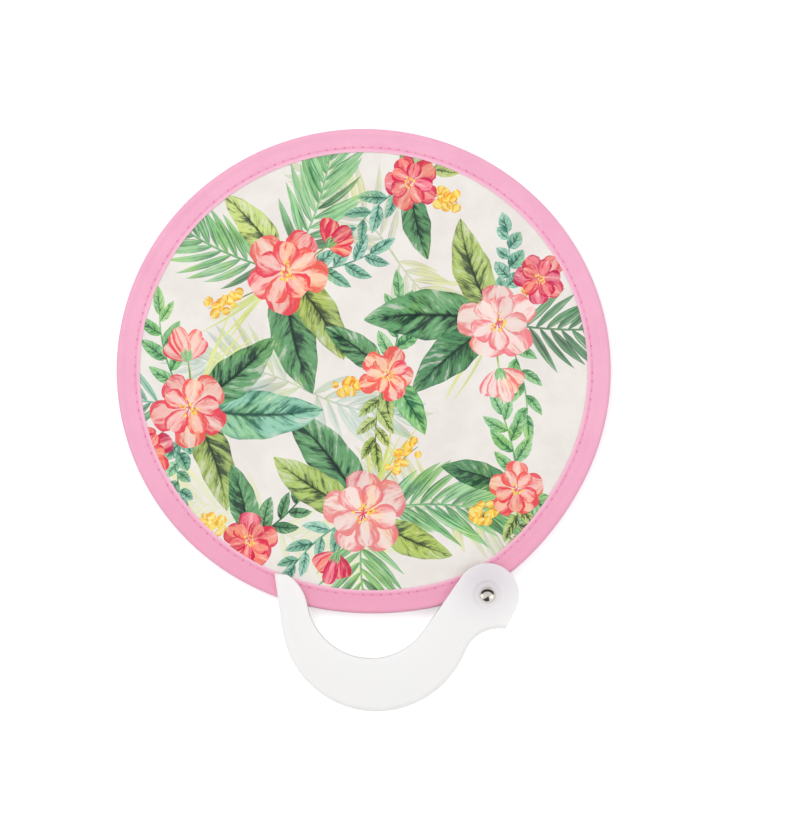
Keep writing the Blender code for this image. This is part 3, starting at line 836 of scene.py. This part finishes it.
def make_binding():
    """Tape folded over the hoop and the cloth's edge, drawn in by the stitches."""
    inset, height, pull = tape_profile()
    rows = STITCHES * STEPS_A_STITCH
    distances = RIM.total * np.arange(rows) / rows
    rim, inward = RIM.along(distances)
    holes = holes_near(distances)[:, None] * pull
    flap = np.clip((inset - SLOPE_WIDTH) / SLOPE_WIDTH, 0, 1) * outside(height)
    angle = math.tau * distances / RIM.total
    slack = SLACK * np.sin(29 * angle + np.sin(5 * angle)) + FINE_SLACK * np.sin(61 * angle + 1.1)
    sink = GROOVE_DEPTH * pull + HOLE_DEPTH * holes - slack[:, None] * flap
    tucked = HOLE_TUCK * holes_near(distances)[:, None] * (inset > STITCH_INSET)
    mesh = swept_mesh("sewn_binding", rim, inward, inset - tucked, height - np.sign(height) * sink)
    shape = (rows, len(inset))
    point_vectors(mesh, "tape", np.broadcast_to(distances[:, None], shape),
                  np.broadcast_to(inset, shape), holes)
    mesh.set_sharp_from_angle(angle=TAPE_CREASE)
    piece = add_piece("sewn_binding", mesh, tape_material())
    notch_binding(piece)
    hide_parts("binding_tape")


def notch_binding(piece):
    """Cuts the roll away where the strap goes round the bare wire."""
    depth, length = STRAP_NOTCH
    rim, inward = (row[0] for row in RIM.along(np.zeros(1)))
    box = bmesh.new()
    bmesh.ops.create_cube(box, size=1.0)
    bmesh.ops.scale(box, vec=(2 * depth, length, 4 * ROLL_RADIUS), verts=box.verts)
    mesh = bpy.data.meshes.new("notch")
    box.to_mesh(mesh)
    box.free()
    cutter = bpy.data.objects.new("notch", mesh)
    bpy.context.scene.collection.objects.link(cutter)
    cutter.location = (*rim, PLANE)
    cutter.rotation_euler.z = math.atan2(inward[1], inward[0])
    bpy.context.view_layer.update()
    cut = piece.modifiers.new("notch", "BOOLEAN")
    cut.object = cutter
    cut.solver = "MANIFOLD"
    notched = piece.evaluated_get(bpy.context.evaluated_depsgraph_get())
    piece.data = bpy.data.meshes.new_from_object(notched)
    piece.modifiers.clear()
    bpy.data.objects.remove(cutter)


def tape_material():
    """Matt woven tape, with painted shade where the needle went in, towards the bottom and on the roll's
    outer edge, and a painted highlight on the folded lip.
    """
    shader = Shader("binding_tape", roughness=0.88, sheen_weight=0.08, sheen_roughness=0.5)
    place = shader.place()
    along, across, holes = shader.parts(shader.attribute("tape")["Vector"])
    north = shader.parts(place)[1]
    cloud = shader.noise(place, 60, 3)
    fibre = shader.noise(place, 1500, 3, 0.7)
    # Painted shade: the tape is a deeper pink towards the bottom of the disc and lighter at the top
    painted_top_light = shader.spread(north, CENTRE.y - 0.125, CENTRE.y - 0.02)
    base = shader.mix(painted_top_light, colour(244, 165, 193), colour(250, 180, 207))
    base = shader.tint(base, shader.spread(cloud, 0.35, 0.7), 0.35, colour(240, 164, 196))
    base = shader.tint(base, shader.spread(fibre, 0.35, 0.7), 0.16, colour(255, 206, 224))
    # Painted shade on the roll's outer edge, where it turns away from the light
    painted_edge_shade = shader.spread(across, 0.0014, 0.0)
    base = shader.tint(base, painted_edge_shade, 0.30, colour(224, 158, 190))
    # Painted highlight along the folded lip inside the stitches
    lip = shader.spread(across, 0.0099, 0.0115)
    base = shader.tint(base, lip, 0.70, colour(253, 203, 221))
    # Painted shade in the needle holes, unevenly deep
    uneven = shader.spread(shader.noise(place, 190, 1), 0.35, 0.60, 0.35, 0.90)
    base = shader.tint(base, shader.spread(holes, 0.15, 0.80), uneven, colour(228, 122, 172))
    shader.set("Base Color", base)
    threads = weave(shader, (along, across), TAPE_WEAVE)
    shader.bump(shader.math("ADD", threads, fibre), 0.00005, 0.45)
    return shader.material


def make_thread(name, side):
    """One sewing thread that lies on the tape between needle holes and dives at each."""
    count = STITCHES * STEPS_A_STITCH
    distances = RIM.total * np.arange(count) / count
    rim, inward = RIM.along(distances)
    out = np.clip(np.abs(np.sin(math.pi * distances / PITCH)) * 2.0, 0, 1)
    groove = FLAP_OUTER - GROOVE_DEPTH - HOLE_DEPTH * holes_near(distances)
    height = groove + THREAD_RADIUS * (2.6 * out - 2.0)
    drift = DRIFT * np.sin(1.7 * distances / PITCH) + SLOW_DRIFT * np.sin(0.61 * distances / PITCH)
    turns = side * math.tau * np.arange(THREAD_SIDES) / THREAD_SIDES
    inset = (STITCH_INSET + drift)[:, None] + THREAD_RADIUS * np.cos(turns)
    height = side * height[:, None] + THREAD_RADIUS * np.sin(turns) * side
    mesh = swept_mesh(name, rim, inward, inset, height)
    shape = (count, THREAD_SIDES)
    point_vectors(mesh, "twist", np.broadcast_to(distances[:, None], shape),
                  np.broadcast_to(turns, shape), np.broadcast_to(1 - out[:, None], shape))
    add_piece(name, mesh, thread_material())


def thread_material():
    """Twisted thread in the tape's pink, with painted shade where it sinks into a hole."""
    shader = Shader("sewing_thread", roughness=0.65, sheen_weight=0.15)
    along, turn, sunk_shade = shader.parts(shader.attribute("twist")["Vector"])
    ply = shader.math("SINE", shader.math("MULTIPLY_ADD", along, math.tau / THREAD_TWIST, turn))
    base = shader.mix(shader.spread(ply, -0.6, 0.8), colour(243, 162, 196), colour(252, 184, 210))
    # Painted shade on the thread where it sinks into a needle hole
    shader.set("Base Color", shader.tint(base, sunk_shade, 0.9, colour(224, 112, 166)))
    shader.bump(ply, 0.00003, 0.6)
    return shader.material


# Materials of the solids that stay

def handle_material():
    """Frosted white moulding, finely textured. Some light passes through it, and a painted
    shade with a pink cast in its head stands for the pink strap and rim always inside it."""
    shader = Shader("frosted_plastic", ior=1.49, subsurface_weight=0.35,
                    subsurface_radius=(1.0, 1.0, 1.0), subsurface_scale=0.003)
    place = shader.place()
    cloud = shader.noise(place, 28, 2)
    frost = shader.noise(place, 2600, 3, 0.7)
    speck = shader.noise(place, 420, 3)
    base = shader.mix(shader.spread(cloud, 0.3, 0.7), colour(253, 251, 249), colour(251, 250, 249))
    base = shader.tint(base, shader.spread(speck, 0.6, 0.8), 0.25, colour(246, 244, 246))
    # Painted shade with a pink cast round the head, for the strap and rim seen through the plastic
    painted_shade_middle = (PIVOT.x, PIVOT.y + PINK_RISE, PIVOT.z)
    reach = shader.node("VectorMath", {0: place, 1: painted_shade_middle}, operation="DISTANCE").outputs["Value"]
    show_through_shade = shader.spread(reach, 0.0300, 0.0020)
    shader.set("Base Color", shader.mix(show_through_shade, base, colour(228, 222, 227)))
    shader.set("Roughness", shader.spread(speck, 0.3, 0.7, 0.44, 0.56))
    shader.bump(shader.math("MULTIPLY_ADD", cloud, 0.4, frost), 0.00002, 0.3)
    return shader.material


def metal_material(name, bright, dull, rough, strength):
    """Plated or drawn metal with faint tarnish and polishing marks."""
    shader = Shader(name, metallic=1.0)
    place = shader.place()
    tarnish = shader.noise(place, 260, 4)
    marks = shader.noise(place, 3200, 3, 0.7)
    shader.set("Base Color", shader.mix(shader.spread(tarnish, 0.4, 0.75), bright, dull))
    shader.set("Roughness", shader.spread(marks, 0.3, 0.7, rough * 0.7, rough * 1.3))
    shader.bump(marks, 0.00001, strength)
    return shader.material


def strap_material():
    """Woven strap at the rivet."""
    shader = Shader("woven_strap", roughness=0.88, sheen_weight=0.1)
    place = shader.place()
    east, north, _ = shader.parts(place)
    threads = weave(shader, (east, north), STRAP_WEAVE)
    fibre = shader.noise(place, 1500, 3, 0.7)
    base = shader.mix(shader.spread(threads, -0.6, 0.6), colour(226, 138, 172), colour(246, 176, 204))
    shader.set("Base Color", shader.tint(base, fibre, 0.2, colour(255, 205, 224)))
    shader.bump(shader.math("ADD", threads, fibre), 0.00006, 0.6)
    return shader.material


def round_shading():
    """Node group that joins a solid's faces and shades them as the curves they stand for."""
    group = bpy.data.node_groups.new("round_shading", "GeometryNodeTree")
    for way in ("INPUT", "OUTPUT"):
        group.interface.new_socket("Geometry", in_out=way, socket_type="NodeSocketGeometry")
    start, merge, angle, steep, smooth, crease, end = (group.nodes.new(kind) for kind in (
        "NodeGroupInput", "GeometryNodeMergeByDistance", "GeometryNodeInputMeshEdgeAngle",
        "FunctionNodeCompare", "GeometryNodeSetShadeSmooth", "GeometryNodeSetShadeSmooth",
        "NodeGroupOutput"))
    merge.inputs["Distance"].default_value = WELD
    steep.operation = "GREATER_THAN"
    steep.inputs["B"].default_value = CREASE
    crease.domain = "EDGE"
    crease.inputs["Shade Smooth"].default_value = False
    for source, target, socket in ((start, merge, 0), (merge, smooth, 0), (smooth, crease, 0),
                                   (angle, steep, "A"), (steep, crease, "Selection"), (crease, end, 0)):
        group.links.new(source.outputs[0], target.inputs[socket])
    return group


def dress_solids():
    """Gives the solids that stay their materials, and shades their curves as curves."""
    rounding = round_shading()
    nickel = metal_material("nickel_plate", colour(236, 231, 222), colour(216, 209, 198), 0.09, 0.1)
    steel = metal_material("spring_steel", colour(176, 176, 180), colour(140, 140, 146), 0.32, 0.3)
    looks = {
        "handle": handle_material(),
        "rivet_post": nickel,
        "rivet_cap": nickel,
        "tab_eyelet": nickel,
        "hoop_wire": steel,
        "hoop_ferrule": steel,
        "pivot_tab": strap_material(),
    }
    for name, material in looks.items():
        solid = NODES[name]
        solid.data.materials.clear()
        solid.data.materials.append(material)
        solid.modifiers.new("rounding", "NODES").node_group = rounding
        weighted = solid.modifiers.new("flats", "WEIGHTED_NORMAL")
        weighted.keep_sharp = True


# Studio

def make_camera():
    """Straight above, as far off as the lens needs to frame the photograph's height."""
    camera = bpy.data.cameras.new("camera")
    camera.lens = LENS
    camera.sensor_width = SENSOR
    camera.clip_start = 0.01
    right = (IMAGE_SIZE[0] / 2 - DISC_CENTRE_PIXEL[0]) * PIXEL
    down = (IMAGE_SIZE[1] / 2 - DISC_CENTRE_PIXEL[1]) * PIXEL
    rig = bpy.data.objects.new("camera", camera)
    rig.location = (CENTRE.x + right, CENTRE.y - down, PLANE + LENS / SENSOR * IMAGE_SIZE[1] * PIXEL)
    bpy.context.scene.collection.objects.link(rig)
    bpy.context.scene.camera = rig


def make_lamp(name, place, size, power):
    """Soft round lamp over the table. Mirrors see the world's soft boxes in its stead."""
    lamp = bpy.data.lights.new(name, "AREA")
    lamp.shape = "DISK"
    lamp.size = size
    lamp.energy = power
    rig = bpy.data.objects.new(name, lamp)
    rig.location = place
    aim = Vector((CENTRE.x, CENTRE.y, PLANE)) - Vector(place)
    rig.rotation_euler = aim.to_track_quat("-Z", "Y").to_euler()
    rig.visible_glossy = False
    bpy.context.scene.collection.objects.link(rig)


def make_world():
    """Even white studio. Mirrors see two soft boxes in it, a dark strip that leans back over
    the top and a dark wedge at the bottom."""
    strip_normal = (0.0, -0.56, 0.83)
    strip_end = (0.0, 1.0, 0.0)
    wedge_sides = ((0.64, -0.73, -0.25), (-0.92, -0.36, 0.15))
    soft_boxes = ((-0.95, -0.19, 0.25), (0.79, -0.38, 0.49))
    room_level, darkening, box_gain = 0.78, 0.72, 0.5
    world = bpy.data.worlds.new("studio")
    world.use_nodes = True
    bpy.context.scene.world = world
    sky = Nodes(world.node_tree)
    background = sky.tree.nodes["Background"]
    sky.feed(background.inputs["Color"], WHITE)
    rays = sky.node("LightPath").outputs
    direction = sky.node("TexCoord").outputs["Generated"]

    def towards(way):
        """1 in the direction given, 0 square to it and -1 opposite."""
        return sky.node("VectorMath", {0: direction, 1: way}, operation="DOT_PRODUCT").outputs["Value"]

    strip = sky.spread(sky.math("ABSOLUTE", towards(strip_normal)), 0.40, 0.22)
    strip = sky.math("MULTIPLY", strip, sky.spread(towards(strip_end), -0.02, 0.12))
    wedge = sky.math("MULTIPLY", *(sky.spread(towards(side), 0.0, 0.14) for side in wedge_sides))
    boxes = sky.math("MAXIMUM", *(sky.spread(towards(box), 0.90, 0.97) for box in soft_boxes))
    mirrored = sky.math("MULTIPLY_ADD", sky.math("MAXIMUM", strip, wedge), -darkening, room_level)
    mirrored = sky.math("MULTIPLY_ADD", boxes, box_gain, mirrored)
    seen = sky.math("MAXIMUM", rays["Is Camera Ray"], rays["Is Transmission Ray"])
    plain = sky.math("MULTIPLY_ADD", seen, 1 - AMBIENT, AMBIENT)
    sky.feed(background.inputs["Strength"], sky.math("MULTIPLY_ADD", rays["Is Glossy Ray"],
                                                     sky.math("SUBTRACT", mirrored, plain), plain))


def make_floor():
    """White table. It looks paper white to the camera and keeps the fan's shadow."""
    bpy.ops.mesh.primitive_plane_add(size=TABLE_SIZE)
    floor = bpy.context.object
    floor.name = "floor"
    shader = Shader("table", roughness=0.9, base_color=TABLE_COLOUR, emission_color=WHITE)
    rays = shader.node("LightPath").outputs
    seen = shader.math("MAXIMUM", rays["Is Camera Ray"], rays["Is Glossy Ray"])
    seen = shader.math("MAXIMUM", seen, rays["Is Transmission Ray"])
    shader.set("Emission Strength", shader.math("MULTIPLY", seen, TABLE_GLOW))
    floor.data.materials.append(shader.material)


make_camera()
make_cloth()
make_binding()
make_thread("front_thread", 1)
make_thread("back_thread", -1)
dress_solids()
make_floor()
make_world()
for name, settings in LAMPS.items():
    make_lamp(name, *settings)

bpy.context.scene.view_settings.view_transform = "Standard"
